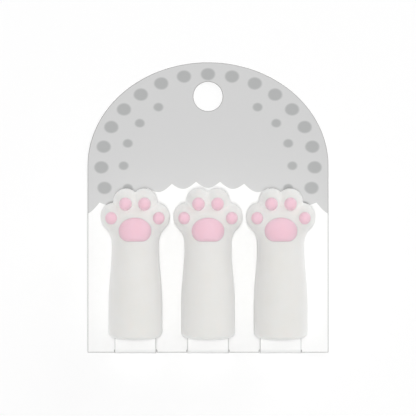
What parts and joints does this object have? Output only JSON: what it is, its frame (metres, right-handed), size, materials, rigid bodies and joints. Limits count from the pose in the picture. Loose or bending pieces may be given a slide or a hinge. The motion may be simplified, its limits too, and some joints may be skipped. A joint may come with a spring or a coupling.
{
  "type": "carded pencil cap set",
  "caption": "Soft rubber paw-shaped pencil caps with inlaid pink pads, pulled over folded strips of a domed hang card.",
  "frame": {"origin": "middle of the card's outline, on its back face", "axes": "+Y up the card towards its hang hole, +Z out of the printed face, +X to the right seen from the front"},
  "size_m": [0.065, 0.0782, 0.0137],
  "materials": {
    "printed_board": "coated white board with a light grey print",
    "white_rubber": "matt off-white moulded rubber",
    "pink_rubber": "satin pale pink moulded rubber"
  },
  "bodies": {
    "card": {"hang_card": "printed_board"},
    "left_tongue": {"left_tongue": "printed_board"},
    "left_cap": {"left_cap_body": "white_rubber", "left_cap_palm_pad": "pink_rubber", "left_cap_toe_pad_outer_left": "pink_rubber", "left_cap_toe_pad_inner_left": "pink_rubber", "left_cap_toe_pad_inner_right": "pink_rubber", "left_cap_toe_pad_outer_right": "pink_rubber"},
    "middle_tongue": {"middle_tongue": "printed_board"},
    "middle_cap": {"middle_cap_body": "white_rubber", "middle_cap_palm_pad": "pink_rubber", "middle_cap_toe_pad_outer_left": "pink_rubber", "middle_cap_toe_pad_inner_left": "pink_rubber", "middle_cap_toe_pad_inner_right": "pink_rubber", "middle_cap_toe_pad_outer_right": "pink_rubber"},
    "right_tongue": {"right_tongue": "printed_board"},
    "right_cap": {"right_cap_body": "white_rubber", "right_cap_palm_pad": "pink_rubber", "right_cap_toe_pad_outer_left": "pink_rubber", "right_cap_toe_pad_inner_left": "pink_rubber", "right_cap_toe_pad_inner_right": "pink_rubber", "right_cap_toe_pad_outer_right": "pink_rubber"}
  },
  "joints": [
    {"name": "left_tongue_fold", "type": "hinge", "parent": "card", "child": "left_tongue", "pos_m": [-0.01952, -0.0389, 0.00025], "axis": [1, 0, 0], "range_deg": [0, 90]},
    {"name": "left_cap_slide", "type": "slide", "parent": "left_tongue", "child": "left_cap", "axis": [0, 1, 0], "range_m": [0, 0.02]},
    {"name": "middle_tongue_fold", "type": "hinge", "parent": "card", "child": "middle_tongue", "pos_m": [0, -0.0389, 0.00025], "axis": [1, 0, 0], "range_deg": [0, 90]},
    {"name": "middle_cap_slide", "type": "slide", "parent": "middle_tongue", "child": "middle_cap", "axis": [0, 1, 0], "range_m": [0, 0.02]},
    {"name": "right_tongue_fold", "type": "hinge", "parent": "card", "child": "right_tongue", "pos_m": [0.01952, -0.0389, 0.00025], "axis": [1, 0, 0], "range_deg": [0, 90]},
    {"name": "right_cap_slide", "type": "slide", "parent": "right_tongue", "child": "right_cap", "axis": [0, 1, 0], "range_m": [0, 0.02]}
  ]
}
